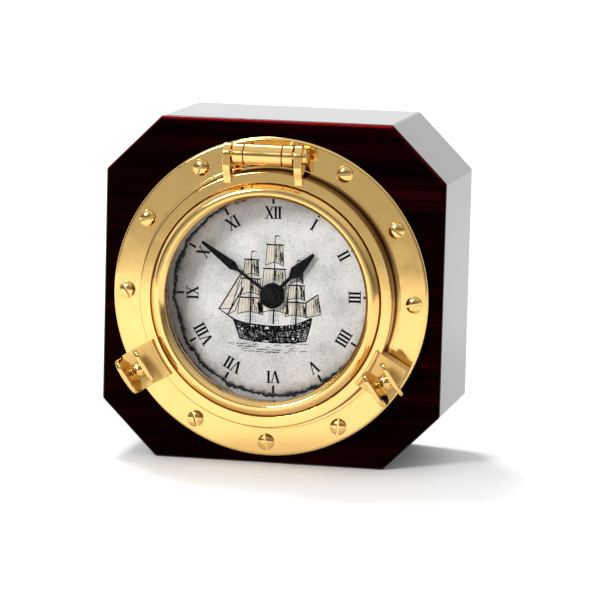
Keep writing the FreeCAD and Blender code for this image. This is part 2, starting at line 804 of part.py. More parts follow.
def make_movement():
    """The quartz movement: a tray for train and battery, a lid over the train, a battery and a set knob."""
    front = "-board_depth - gasket_thick"
    tray_depth = "(movement_depth - movement_lid)"
    inner_width = "movement_width - movement_wall * 2"
    bay_top = "(battery_radius * 2 + 0.8 - movement_width / 2 + movement_wall)"
    train_height = f"(movement_width / 2 - movement_wall - {bay_top} - movement_wall)"
    train_middle = f"(movement_width / 2 - movement_wall - {train_height} / 2)"

    def train_room(sketch):
        add_rectangle(sketch, inner_width, train_height, "0", train_middle)

    def battery_room(sketch):
        add_rectangle(sketch, "battery_length + 1.2", "battery_radius * 2 + 0.6", "0", "-battery_drop")

    tray = new_body("movement_tray")
    pad(tray, "XY_Plane", square_hole("movement_width"), f"{front} - {tray_depth}", tray_depth)
    cut_top, cut_depth = f"{front} - movement_wall", f"{tray_depth}"
    pocket(tray, "XY_Plane", train_room, cut_top, cut_depth)
    pocket(tray, "XY_Plane", battery_room, cut_top, cut_depth)
    pocket(tray, "XY_Plane", round_hole("bush_radius + fit_gap"), front, "movement_wall + 1")

    lid = new_body("movement_lid")
    lid_height = f"(movement_width / 2 - {bay_top})"

    def lid_outline(sketch):
        add_rectangle(sketch, "movement_width", lid_height, "0", f"movement_width / 2 - {lid_height} / 2")

    pad(lid, "XY_Plane", lid_outline, f"{front} - movement_depth", "movement_lid")
    stem_hole = round_hole("stem_hole_radius", "knob_offset", "knob_offset")
    pocket(lid, "XY_Plane", stem_hole, f"{front} - {tray_depth}", "movement_lid")

    battery = new_body("battery")
    battery_middle = f"{front} - movement_wall - battery_radius - battery_gap"

    def battery_end(radius):
        return lambda sketch: add_circle(sketch, radius, "-battery_drop", battery_middle)

    case_length = "battery_length - terminal_length"
    pad(battery, "YZ_Plane", battery_end("battery_radius"), "-battery_length / 2", case_length)
    terminal_base = "battery_length / 2 - terminal_length"
    pad(battery, "YZ_Plane", battery_end("terminal_radius"), terminal_base, "terminal_length")

    knob = new_body("set_knob")
    knob_front = f"({front} - movement_depth - knob_gap)"
    for radius, base, length in (
        ("knob_radius", f"{knob_front} - knob_thick", "knob_thick"),
        ("stem_radius", knob_front, "stem_length"),
    ):
        pad(knob, "XY_Plane", round_hole(radius, "knob_offset", "knob_offset"), base, length)


def make_rear_cover():
    """The square plate that closes the cavity, and its four screws."""
    cover = new_body("rear_cover")
    pad(cover, "XY_Plane", square_hole("cover_width"), "-block_depth", "cover_thick")
    cover_front = "cover_thick - block_depth"
    hole_radius = "screw_shank_radius + screw_hole_gap"
    pocket(cover, "XY_Plane", cover_holes(hole_radius), cover_front, "cover_thick")
    sink = "screw_head_rise + cover_sink_gap"
    sink_radius = "screw_head_radius + cover_sink_margin"
    pocket(cover, "XY_Plane", cover_holes(sink_radius), f"{sink} - block_depth", sink)


make_wood_block()
make_base_flange()
make_bezel_ring()
make_lens_stack()
make_hinge_arm("hinge_arm_left", "-arm_outer")
make_hinge_arm("hinge_arm_right", "arm_inner")
make_hinge_bracket()
make_hinge_sleeve()
make_hinge_pin()
for side, angle in DOG_ANGLES.items():
    make_dog_ear(f"dog_ear_{side}", angle)
    make_dog(f"dog_{side}", angle, WING_ANGLES[side])
    make_dog_washer(f"dog_washer_{side}", angle)
make_dial()
make_hands()
make_movement()
make_rear_cover()

flange_screw = make_screw("flange_screw_pattern", "screw_shank_length")
flange_seats = [
    (*polar("screw_circle", angle), "flange_thick", slot, False)
    for angle, slot in zip(SCREW_ANGLES, SLOT_ANGLES)
]
make_screw_set("flange_screws", flange_screw, flange_seats)
cover_screw = make_screw("cover_screw_pattern", "screw_shank_length")
cover_seat_height = "screw_head_rise + cover_sink_gap - block_depth"
cover_seats = [
    (f"{across} * cover_screw_reach", f"{up} * cover_screw_reach", cover_seat_height, slot, True)
    for across, up, slot in COVER_CORNERS
]
make_screw_set("cover_screws", cover_screw, cover_seats)

doc.recompute()
for item in doc.Objects:
    if {"Invalid", "Error"} & set(item.State):
        raise RuntimeError(f"{item.Label} failed: {item.State}")
os.makedirs("parts", exist_ok=True)
for node in nodes:
    if node.Shape.isNull() or not node.Shape.isValid():
        raise RuntimeError(f"{node.Label} has no valid shape")
    node.Shape.exportStep(f"parts/{node.Label}.step")
    box = node.Shape.BoundBox
    print(f"{node.Label:18} {node.Shape.Volume:11.1f} mm3, y {box.YMin:6.2f} to {box.YMax:6.2f}")
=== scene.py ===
import json
import math
import random

import bmesh
import bpy
from mathutils import Matrix, Vector


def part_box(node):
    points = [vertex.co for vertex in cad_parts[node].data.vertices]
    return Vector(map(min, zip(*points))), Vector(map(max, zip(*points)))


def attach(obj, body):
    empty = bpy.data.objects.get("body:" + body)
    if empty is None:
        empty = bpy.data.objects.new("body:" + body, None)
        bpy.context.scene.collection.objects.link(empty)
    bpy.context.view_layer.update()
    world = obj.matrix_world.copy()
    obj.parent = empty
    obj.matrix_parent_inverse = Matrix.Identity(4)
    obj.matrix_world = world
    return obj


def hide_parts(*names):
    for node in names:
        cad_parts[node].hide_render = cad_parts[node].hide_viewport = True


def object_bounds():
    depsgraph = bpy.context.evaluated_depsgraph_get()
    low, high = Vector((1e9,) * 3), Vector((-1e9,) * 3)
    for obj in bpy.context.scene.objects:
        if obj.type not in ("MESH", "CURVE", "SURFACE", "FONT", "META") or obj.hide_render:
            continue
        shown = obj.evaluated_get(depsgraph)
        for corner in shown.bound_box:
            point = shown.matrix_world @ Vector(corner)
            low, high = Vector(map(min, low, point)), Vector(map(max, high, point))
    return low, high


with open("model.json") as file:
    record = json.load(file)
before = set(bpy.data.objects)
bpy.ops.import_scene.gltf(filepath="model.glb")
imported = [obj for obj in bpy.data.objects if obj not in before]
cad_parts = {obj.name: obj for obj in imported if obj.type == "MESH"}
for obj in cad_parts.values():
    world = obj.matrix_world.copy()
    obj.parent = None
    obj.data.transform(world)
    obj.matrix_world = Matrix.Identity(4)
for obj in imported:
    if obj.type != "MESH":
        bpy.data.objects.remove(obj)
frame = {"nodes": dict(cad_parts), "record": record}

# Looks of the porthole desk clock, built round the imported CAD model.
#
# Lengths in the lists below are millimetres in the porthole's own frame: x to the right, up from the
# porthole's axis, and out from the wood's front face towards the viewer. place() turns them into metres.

MM = 0.001
OUT = Vector((0, -1, 0))
UP = Vector((0, 0, 1))
RIGHT = Vector((1, 0, 0))
SHARP_ANGLE = 35.0
CAST_SHARP_ANGLE = 60.0
SMALL_SIDES = 48
HINGE_SIDES = 96
PORTHOLE_SIDES = 256
CAD_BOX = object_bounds()
BLOCK_LOW, BLOCK_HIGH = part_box("wood_block")
WOOD_FACE = BLOCK_LOW.y
AXIS_Z = (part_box("base_flange")[0].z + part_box("base_flange")[1].z) / 2


def place(x, up, out):
    """A point of the porthole's frame, in metres in the part's frame."""
    return Vector((x * MM, WOOD_FACE - out * MM, AXIS_Z + up * MM))


def half_size(node, axis="x"):
    """Half of a node's size along an axis, in millimetres."""
    low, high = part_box(node)
    return (getattr(high, axis) - getattr(low, axis)) / 2 / MM


def front_of(node):
    """How far a node stands out from the wood's front face, in millimetres."""
    return (WOOD_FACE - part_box(node)[0].y) / MM


def back_of(node):
    """How far out from the wood's front face a node begins, in millimetres."""
    return (WOOD_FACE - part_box(node)[1].y) / MM


def clock(radius, angle):
    """x and up of a point at a clockwise angle in degrees from the top."""
    return radius * math.sin(math.radians(angle)), radius * math.cos(math.radians(angle))


# ------------------------------------------------------------------ mesh helpers
def new_object(name, data):
    """A mesh, light or camera as an object in the scene."""
    made = bpy.data.objects.new(name, data)
    bpy.context.scene.collection.objects.link(made)
    return made


def add_piece(name, mesh, body, material, replaced=()):
    """Put a mesh in the scene as a piece that rides on a body and stands for some CAD nodes."""
    piece = new_object(name, mesh)
    piece.data.materials.append(material)
    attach(piece, body)
    if replaced:
        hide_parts(*replaced)
    return piece


def finish_mesh(name, bm, sharp=SHARP_ANGLE):
    """Turn a bmesh into a smooth-shaded mesh whose edges above an angle stay sharp."""
    bmesh.ops.remove_doubles(bm, verts=bm.verts, dist=1e-7)
    bmesh.ops.recalc_face_normals(bm, faces=bm.faces)
    mesh = bpy.data.meshes.new(name)
    bm.to_mesh(mesh)
    bm.free()
    mesh.shade_smooth()
    mesh.set_sharp_from_angle(angle=math.radians(sharp))
    return mesh


def add_solid(name, bm, body, material, node, sharp=SHARP_ANGLE):
    """Put a bmesh in the scene as a piece that stands for one CAD node."""
    return add_piece(name, finish_mesh(name, bm, sharp), body, material, [node])


def soften(piece, width, segments=3, angle=30.0):
    """Round a piece's hard edges by width in millimetres, and keep its flats flat in reflections."""
    bevel = piece.modifiers.new("bevel", "BEVEL")
    bevel.width = width * MM
    bevel.segments = segments
    bevel.limit_method = "ANGLE"
    bevel.angle_limit = math.radians(angle)
    keep_flat(piece)


def keep_flat(piece):
    """Weight the piece's normals by face area."""
    weighted = piece.modifiers.new("flats", "WEIGHTED_NORMAL")
    weighted.keep_sharp = True


def rounded(points, steps=6):
    """A profile of (radius, height, corner radius) points, with each corner replaced by an arc."""
    out = []
    count = len(points)
    for i, (x, y, corner) in enumerate(points):
        here = Vector((x, y))
        if corner <= 0:
            out.append(here)
            continue
        to_last = (Vector(points[i - 1][:2]) - here).normalized()
        to_next = (Vector(points[(i + 1) % count][:2]) - here).normalized()
        half = to_last.angle(to_next) / 2
        tangent = corner / math.tan(half)
        centre = here + (to_last + to_next).normalized() * (corner / math.sin(half))
        start, end = here + to_last * tangent - centre, here + to_next * tangent - centre
        sweep = start.angle_signed(end)
        for step in range(steps + 1):
            turn = Matrix.Rotation(-sweep * step / steps, 2)
            out.append(centre + turn @ start)
    return out


def lathe(profile, origin, out_axis, side_axis, segments):
    """A bmesh of a (radius, height) profile in millimetres turned about an axis through origin."""
    bm = bmesh.new()
    third = out_axis.cross(side_axis)
    rings = []
    for i in range(segments):
        angle = 2 * math.pi * i / segments
        radial = side_axis * math.cos(angle) + third * math.sin(angle)
        rings.append([bm.verts.new(origin + (radial * p[0] + out_axis * p[1]) * MM) for p in profile])
    count = len(profile)
    for i in range(segments):
        here, following = rings[i], rings[(i + 1) % segments]
        for j in range(count):
            k = (j + 1) % count
            bm.faces.new([here[j], here[k], following[k], following[j]])
    bmesh.ops.dissolve_degenerate(bm, dist=1e-8, edges=bm.edges)
    return bm


def turned_about_porthole(profile):
    """A lathe bmesh about the porthole's axis."""
    return lathe(profile, place(0, 0, 0), OUT, RIGHT, PORTHOLE_SIDES)


def extrude(outline, thickness_axis, start, length):
    """A bmesh of a closed outline of points (metres, planar), pushed along an axis."""
    bm = bmesh.new()
    shift = thickness_axis * start
    low = [bm.verts.new(p + shift) for p in outline]
    high = [bm.verts.new(p + shift + thickness_axis * length) for p in outline]
    bm.faces.new(low)
    bm.faces.new(list(reversed(high)))
    for i in range(len(outline)):
        j = (i + 1) % len(outline)
        bm.faces.new([low[j], low[i], high[i], high[j]])
    return bm


def join(target, extra):
    """Add another bmesh's faces to a bmesh."""
    copies = {vertex: target.verts.new(vertex.co) for vertex in extra.verts}
    for face in extra.faces:
        target.faces.new([copies[vertex] for vertex in face.verts])
    extra.free()


def applied(shape):
    """A new mesh of an object as its modifiers make it."""
    bpy.context.view_layer.update()
    graph = bpy.context.evaluated_depsgraph_get()
    return bpy.data.meshes.new_from_object(shape.evaluated_get(graph))


def cut(piece, cutters):
    """Subtract cutter meshes from a piece and keep the result as its mesh."""
    for number, mesh in enumerate(cutters):
        boolean = piece.modifiers.new(f"cut{number}", "BOOLEAN")
        boolean.operation = "DIFFERENCE"
        boolean.solver = "EXACT"
        boolean.object = new_object(f"cutter{number}", mesh)
    result = applied(piece)
    for modifier in list(piece.modifiers):
        if modifier.type == "BOOLEAN":
            bpy.data.objects.remove(modifier.object)
            piece.modifiers.remove(modifier)
    piece.data = result


def cast(solid, voxel, rounds):
    """Fuse a bmesh's overlapping solids into one skin of voxel millimetres, smoothed like a casting."""
    draft = new_object("draft", finish_mesh("draft", solid))
    fuse = draft.modifiers.new("fuse", "REMESH")
    fuse.mode = "VOXEL"
    fuse.voxel_size = voxel * MM
    flow = draft.modifiers.new("flow", "SMOOTH")
    flow.factor = 0.5
    flow.iterations = rounds
    fused = applied(draft)
    bpy.data.objects.remove(draft)
    result = bmesh.new()
    result.from_mesh(fused)
    return result


# ------------------------------------------------------------------ materials
class Nodes:
    """Short calls that add and join nodes in a node tree."""

    def __init__(self, tree):
        self.tree = tree

    def add(self, kind, **settings):
        """Add a node; keyword names are its properties, or inputs when they start with a capital."""
        node = self.tree.nodes.new("ShaderNode" + kind)
        for key, value in settings.items():
            if key[0].isupper():
                node.inputs[key.replace("_", " ")].default_value = value
            else:
                setattr(node, key, value)
        return node

    def link(self, source, target):
        """Join an output socket to an input socket."""
        self.tree.links.new(source, target)

    def ramp(self, value, stops):
        """A colour ramp of (position, colour) stops."""
        node = self.add("ValToRGB")
        for _ in range(len(stops) - 2):
            node.color_ramp.elements.new(0.5)
        for element, (position, colour) in zip(node.color_ramp.elements, stops):
            element.position = position
            element.color = (*colour, 1)
        self.link(value, node.inputs["Fac"])
        return node.outputs["Color"]


class Shader(Nodes):
    """A node material with one Principled shader."""

    def __init__(self, name, **settings):
        self.material = bpy.data.materials.new(name)
        self.material.use_nodes = True
        super().__init__(self.material.node_tree)
        self.surface = self.tree.nodes["Principled BSDF"]
        for key, value in settings.items():
            self.surface.inputs[key.replace("_", " ")].default_value = value

    def object_point(self, scale=(1, 1, 1)):
        """The point on the object in millimetres, stretched by a scale."""
        point = self.add("TexCoord")
        mapping = self.add("Mapping", Scale=tuple(s / MM for s in scale))
        self.link(point.outputs["Object"], mapping.inputs["Vector"])
        return mapping.outputs["Vector"]

    def noise(self, point, size, detail=4.0, roughness=0.55):
        """A noise pattern with features of about size millimetres."""
        node = self.add("TexNoise", Scale=1 / size, Detail=detail, Roughness=roughness)
        self.link(point, node.inputs["Vector"])
        return node.outputs["Fac"]

    def axis_distance(self, point):
        """How far a point is from the porthole's axis, in millimetres."""
        split = self.add("SeparateXYZ")
        self.link(point, split.inputs["Vector"])
        up = self.add("Math", operation="SUBTRACT")
        self.link(split.outputs["Z"], up.inputs[0])
        up.inputs[1].default_value = AXIS_Z / MM
        flat = self.add("CombineXYZ")
        self.link(split.outputs["X"], flat.inputs["X"])
        self.link(up.outputs["Value"], flat.inputs["Y"])
        length = self.add("VectorMath", operation="LENGTH")
        self.link(flat.outputs["Vector"], length.inputs[0])
        return length.outputs["Value"]

    def multiply(self, colour, other, amount=1.0):
        """One colour multiplied by another, by an amount."""
        node = self.add("Mix", data_type="RGBA", blend_type="MULTIPLY", Factor=amount)
        self.link(colour, node.inputs["A"])
        self.link(other, node.inputs["B"])
        return node.outputs["Result"]

    def colour(self, value, dark, light):
        """Colour the surface between two tones by a pattern."""
        self.link(self.ramp(value, [(0.3, dark), (0.7, light)]), self.surface.inputs["Base Color"])

    def roughness(self, value, low, high):
        """Make the surface's roughness go between two levels by a pattern."""
        grey = self.ramp(value, [(0.3, (low,) * 3), (0.7, (high,) * 3)])
        self.link(grey, self.surface.inputs["Roughness"])

    def bump(self, value, depth):
        """Raise the surface by a pattern, by a depth in millimetres."""
        node = self.add("Bump", Distance=depth * MM)
        self.link(value, node.inputs["Height"])
        self.link(node.outputs["Normal"], self.surface.inputs["Normal"])


def polished_brass(name, dark, light, grooves=()):
    """Mirror-polished, lacquered brass with faint buffing marks, and painted shade darkening its round
    grooves.

    Each groove is (radius, half width) in millimetres about the porthole's axis.
    """
    shader = Shader(name, Metallic=1.0)
    point = shader.object_point()
    colour = shader.ramp(shader.noise(point, 22, 3), [(0.3, dark), (0.7, light)])
    unshaded, groove_shade = (1, 1, 1), (0.3, 0.2, 0.12)
    # Painted shade: each groove's band is darkened in the base colour, standing for the shade and dark
    # reflections in the gap.
    for radius, half in grooves:
        band = shader.add("MapRange", From_Min=radius - 2 * half, From_Max=radius + 2 * half)
        shader.link(shader.axis_distance(point), band.inputs["Value"])
        stops = [(0.15, unshaded), (0.3, groove_shade), (0.7, groove_shade), (0.85, unshaded)]
        colour = shader.multiply(colour, shader.ramp(band.outputs["Result"], stops))
    shader.link(colour, shader.surface.inputs["Base Color"])
    shader.roughness(shader.noise(point, 6, 5), 0.07, 0.15)
    shader.bump(shader.noise(point, 9, 2), 0.02)
    return shader.material


def satin_brass():
    """Unpolished cast brass of the ears, dull and a little green."""
    shader = Shader("satin_brass", Metallic=1.0)
    point = shader.object_point()
    shader.colour(shader.noise(point, 3), (0.66, 0.46, 0.17), (0.74, 0.53, 0.21))
    shader.roughness(shader.noise(point, 1.5), 0.58, 0.7)
    shader.bump(shader.noise(point, 0.8), 0.01)
    return shader.material


def turned_brass():
    """Plainer machined brass, for washers and rings that stay out of sight."""
    shader = Shader("turned_brass", Metallic=1.0)
    point = shader.object_point()
    shader.colour(shader.noise(point, 5), (0.62, 0.42, 0.18), (0.8, 0.6, 0.3))
    shader.roughness(shader.noise(point, 1.5), 0.22, 0.4)
    shader.bump(shader.noise(shader.object_point((1, 8, 1)), 1.0), 0.01)
    return shader.material


def turned_steel():
    """Bright turned steel."""
    shader = Shader("turned_steel", Metallic=1.0)
    point = shader.object_point((1, 12, 1))
    shader.colour(shader.noise(point, 2), (0.45, 0.45, 0.46), (0.66, 0.66, 0.67))
    shader.roughness(shader.noise(point, 1), 0.2, 0.35)
    return shader.material


def lacquered_wood():
    """Near-black red hardwood under lacquer that gleams at a low angle, with a painted red glow on two of
    its edges.
    """
    shader = Shader(
        "lacquered_wood",
        Roughness=0.45,
        Specular_IOR_Level=0.0,
        Coat_Roughness=0.03,
        Coat_IOR=1.5,
    )
    figure = shader.noise(shader.object_point((0.05, 0.4, 1)), 7, 6, 0.6)
    pores = shader.noise(shader.object_point((0.03, 0.5, 1)), 0.7, 3, 0.7)
    grain = shader.add("Mix", data_type="FLOAT", Factor=0.4)
    shader.link(figure, grain.inputs["A"])
    shader.link(pores, grain.inputs["B"])
    deep = shader.ramp(
        grain.outputs["Result"],
        [(0.4, (0.001, 0.0001, 0.0001)), (0.54, (0.0045, 0.0002, 0.0003)), (0.7, (0.021, 0.0008, 0.0016))],
    )
    geometry = shader.add("NewGeometry")
    tilt = shader.add("SeparateXYZ")
    shader.link(geometry.outputs["Normal"], tilt.inputs["Vector"])
    # The product is far below zero on the upper front edge, and also on the lower back edge. There the base
    # colour is painted with a red glow: a painted highlight for light caught in the lacquer on the rounded
    # edge.
    both = shader.add("Math", operation="MULTIPLY")
    shader.link(tilt.outputs["Y"], both.inputs[0])
    shader.link(tilt.outputs["Z"], both.inputs[1])
    lit = shader.add("MapRange", From_Min=-0.31, From_Max=-0.5)
    shader.link(both.outputs["Value"], lit.inputs["Value"])
    painted_glow_edge = shader.add("Mix", data_type="RGBA")
    shader.link(lit.outputs["Result"], painted_glow_edge.inputs["Factor"])
    shader.link(deep, painted_glow_edge.inputs["A"])
    # Red of the painted glow.
    painted_glow_edge.inputs["B"].default_value = (0.2, 0.003, 0.005, 1)
    low_angle = shader.add("LayerWeight", Blend=0.5)
    gloss = shader.add("MapRange", From_Min=0.3, From_Max=0.75)
    shader.link(low_angle.outputs["Facing"], gloss.inputs["Value"])
    shader.link(gloss.outputs["Result"], shader.surface.inputs["Coat Weight"])
    shader.link(painted_glow_edge.outputs["Result"], shader.surface.inputs["Base Color"])
    shader.bump(shader.noise(shader.object_point(), 14, 2), 0.012)
    return shader.material


def clear_glass():
    """A thin clear lens: nearly all of the light passes, and the rest shows as a faint sheen."""
    shader = Shader("clear_glass", Roughness=0.02, Alpha=0.05, IOR=1.5)
    haze = shader.noise(shader.object_point(), 30, 1)
    shader.colour(haze, (0.01, 0.012, 0.012), (0.02, 0.024, 0.024))
    return shader.material


def plain_surface(name, dark, light, size, rough, depth, shine=0.2):
    """A surface of two near colours in a fine grain, for rubber, plastic, paint and board."""
    shader = Shader(name, Specular_IOR_Level=shine)
    point = shader.object_point()
    grain = shader.noise(point, size, 5)
    shader.colour(grain, dark, light)
    shader.roughness(grain, *rough)
    shader.bump(shader.noise(point, size / 3, 3), depth)
    return shader.material


def dial_paper(burn_radius):
    """Aged silver-grey parchment: mottled, speckled, and burnt along a wavy line near its edge."""
    shader = Shader("dial_paper", Roughness=0.6, Specular_IOR_Level=0.15)
    point = shader.object_point()
    paper = shader.ramp(
        shader.noise(point, 13, 6, 0.6),
        [(0.3, (0.50, 0.50, 0.51)), (0.5, (0.70, 0.70, 0.69)), (0.72, (0.84, 0.835, 0.82))],
    )
    specks = shader.ramp(shader.noise(point, 0.42, 2), [(0.3, (0.5, 0.49, 0.5)), (0.46, (1, 1, 1))])

    wander = 4.4
    shift = shader.add("Math", operation="MULTIPLY_ADD")
    shader.link(shader.noise(point, 4.0, 3, 0.65), shift.inputs[0])
    shift.inputs[1].default_value = wander
    shader.link(shader.axis_distance(point), shift.inputs[2])
    along = shader.add("MapRange", From_Min=burn_radius - 1.3, From_Max=burn_radius + 5.7)
    shader.link(shift.outputs["Value"], along.inputs["Value"])
    burn = shader.ramp(
        along.outputs["Result"],
        [
            (0.0, (1, 1, 1)),
            (0.30, (0.66, 0.65, 0.65)),
            (0.43, (0.02, 0.02, 0.02)),
            (0.53, (0.02, 0.02, 0.02)),
            (0.56, (0.66, 0.65, 0.68)),
            (1.0, (0.74, 0.73, 0.76)),
        ],
    )
    burnt = shader.multiply(shader.multiply(paper, specks, 0.75), burn)
    shader.link(burnt, shader.surface.inputs["Base Color"])
    shader.bump(shader.noise(point, 1.2, 4), 0.01)
    return shader.material


# Grooves of the opening ring that get painted shade in its colour: (radius, half width) in millimetres.
RING_GROOVES = [(36.25, 0.22), (40.1, 0.3)]
BRASS_TONES = (0.79, 0.515, 0.175), (0.85, 0.56, 0.205)
BRASS = polished_brass("polished_brass", *BRASS_TONES)
RING_BRASS = polished_brass("ring_brass", *BRASS_TONES, RING_GROOVES)
# Painted shade: a darker copy of the polished brass for the dogs, standing for the shade and dark
# reflections between their leaves.
SHADED_DOG_BRASS = polished_brass("dog_brass_painted_shade", (0.64, 0.40, 0.12), (0.72, 0.47, 0.16))
PLAIN_BRASS = turned_brass()
SATIN_BRASS = satin_brass()
INK_TONES = (0.001, 0.001, 0.001), (0.006, 0.005, 0.006)
BLACK_INK = plain_surface("printing_ink", *INK_TONES, 0.6, (0.5, 0.7), 0.002, 0.04)

# ------------------------------------------------------------------ sizes in millimetres
FLANGE_RADIUS = half_size("base_flange")
FLANGE_FRONT = 3.0
STEP_RADIUS = 41.3
BEZEL_RADIUS = half_size("bezel_ring")
BEZEL_BACK = back_of("bezel_ring")
BAND_FRONT = 10.0
LIP_FRONT = front_of("bezel_ring")
SIGHT_RADIUS = 31.8
SCREW_CIRCLE = 45.6
SCREW_HEAD = 2.6
SCREW_RISE = front_of("flange_screws") - FLANGE_FRONT
HINGE_RISE = 45.0
HINGE_OUT = 10.0
BARREL_RADIUS = half_size("hinge_sleeve", "z")
EYE_RADIUS = front_of("hinge_arm_left") - HINGE_OUT
HINGE_X = (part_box("hinge_sleeve")[0].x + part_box("hinge_sleeve")[1].x) / 2 / MM
ARM_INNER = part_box("hinge_arm_right")[0].x / MM - HINGE_X
ARM_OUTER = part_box("hinge_arm_right")[1].x / MM - HINGE_X
KNUCKLE_OUTER = half_size("hinge_bracket")
SLEEVE_REACH = half_size("hinge_sleeve")
DOG_CIRCLE = 45.4
DOG_ANGLES = {"left": 239, "right": 120.5}
WING_ANGLES = {"left": 145, "right": 145}
EAR_HALF_WIDTH = 6.2
EAR_REACH = 49.3
RIB_INNER = 37.8
RIB_OUTER = 39.2
EAR_BACK = back_of("dog_ear_left")
EAR_SHELF = 10.6
RIB_FRONT = front_of("dog_ear_left")
WING_TOP = front_of("dog_left")
DIAL_FRONT = front_of("dial")
PRINT_TURN = -1.3
SERIF = 0.26
TICK_INNER = 28.6
TICK_OUTER = 31.0
TICK_WIDTH = 0.72
NUT_CLEAR = 4.4
BURN_RADIUS = 31.9


# ------------------------------------------------------------------ flange and opening ring
def make_flange():
    """The fixed ring: a flat face, a rounded rim and a low step inside, with sockets for the dogs."""
    bore = SIGHT_RADIUS + 1.2
    step_front = front_of("base_flange")
    profile = rounded(
        [
            (bore, 0, 0),
            (FLANGE_RADIUS, 0, 0.15),
            (FLANGE_RADIUS, FLANGE_FRONT, 0.9),
            (STEP_RADIUS, FLANGE_FRONT, 0.12),
            (STEP_RADIUS, step_front, 0.2),
            (bore, step_front, 0.25),
        ]
    )
    piece = add_solid("flange_ring", turned_about_porthole(profile), "case", RING_BRASS, "base_flange")
    radius, low, high = 2.2, -1, 5
    socket = [(0, low), (radius, low), (radius, high), (0, high)]
    sockets = []
    for angle in DOG_ANGLES.values():
        hole = lathe(socket, place(*clock(DOG_CIRCLE, angle), 0), OUT, RIGHT, SMALL_SIDES)
        sockets.append(finish_mesh("socket", hole))
    cut(piece, sockets)
    piece.data.set_sharp_from_angle(angle=math.radians(SHARP_ANGLE))
    keep_flat(piece)


def make_opening_ring():
    """The opening ring: wall, flat band, fine groove, and the rounded lip round the glass."""
    rebate, seat = 35.5, 9.0
    groove_outer = 38.6
    groove_front = BEZEL_BACK + 1.5
    band = 36.6
    profile = rounded(
        [
            (rebate, BEZEL_BACK, 0),
            (band, BEZEL_BACK, 0),
            (band, groove_front, 0),
            (groove_outer, groove_front, 0),
            (groove_outer, BEZEL_BACK, 0),
            (BEZEL_RADIUS, BEZEL_BACK, 0.2),
            (BEZEL_RADIUS, BAND_FRONT, 0.5),
            (band, BAND_FRONT, 0.12),
            (band - 0.25, BAND_FRONT - 0.4, 0.1),
            (band - 0.7, BAND_FRONT + 0.6, 0.15),
            (SIGHT_RADIUS + 2.9, LIP_FRONT, 1.6),
            (SIGHT_RADIUS + 1.2, LIP_FRONT, 1.2),
            (SIGHT_RADIUS, LIP_FRONT - 1.2, 0.5),
            (SIGHT_RADIUS, seat, 0),
            (rebate, seat, 0),
        ]
    )
    ring = turned_about_porthole(profile)
    keep_flat(add_solid("opening_ring", ring, "porthole", RING_BRASS, "bezel_ring"))


# ------------------------------------------------------------------ screws
def screw_mesh(name, head, rise, shank, length):
    """A slotted round-head screw: its seat at the origin, its head towards +Z and its shank down -Z."""
    profile = [(0, -length), (shank, -length), (shank, 0), (head, 0), (head, rise * 0.25)]
    for step in range(1, 10):
        share = math.radians(90 * step / 9)
        profile.append((head * math.cos(share), rise * (0.25 + 0.75 * math.sin(share))))
    piece = new_object(name, finish_mesh(name, lathe(profile, Vector((0, 0, 0)), UP, RIGHT, SMALL_SIDES)))
    slot = bmesh.new()
    width, height = 0.7, 1.5
    size = Matrix.Diagonal((head * 3 * MM, width * MM, height * MM, 1))
    bmesh.ops.create_cube(slot, size=1, matrix=Matrix.Translation((0, 0, rise * MM)) @ size)
    cut(piece, [finish_mesh("slot", slot)])
    mesh = piece.data
    bpy.data.objects.remove(piece)
    return mesh


def set_screws(name, mesh, seats, material, node):
    """Copies of a screw in one mesh; each seat is a point, the way its head faces and its slot's turn."""
    bm = bmesh.new()
    for point, facing, turn in seats:
        copy = mesh.copy()
        turned = facing.to_track_quat("Z", "Y").to_matrix().to_4x4()
        copy.transform(Matrix.Translation(point) @ turned @ Matrix.Rotation(math.radians(turn), 4, "Z"))
        bm.from_mesh(copy)
    soften(add_solid(name, bm, "case", material, node), 0.08, 2, 40)


def make_screws():
    """The nine screws of the flange and the four of the rear cover."""
    angles = [30, 60, 90, 150, 180, 210, 270, 300, 330]
    slots = [10, 143, 14, 88, 103, 112, 124, 20, 70]
    seats = [
        (place(*clock(SCREW_CIRCLE, angle), FLANGE_FRONT), OUT, turn) for angle, turn in zip(angles, slots)
    ]
    screw = screw_mesh("screw", SCREW_HEAD, SCREW_RISE, 1.1, 2.5)
    set_screws("rim_screws", screw, seats, BRASS, "flange_screws")
    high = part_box("cover_screws")[1]
    sink = high.y - SCREW_RISE * MM
    across = high.x - SCREW_HEAD * MM
    corners = [(1, 1, 30), (-1, 1, 75), (-1, -1, 140), (1, -1, 100)]
    rear_seats = [
        (Vector((x * across, sink, AXIS_Z + z * across)), Vector((0, 1, 0)), turn) for x, z, turn in corners
    ]
    set_screws("rear_screws", screw, rear_seats, PLAIN_BRASS, "cover_screws")


# ------------------------------------------------------------------ hinge
def side_view(points):
    """Points of a (up, out) outline, in metres in the part's frame, at the hinge's middle."""
    return [place(HINGE_X, p[0], p[1]) for p in points]


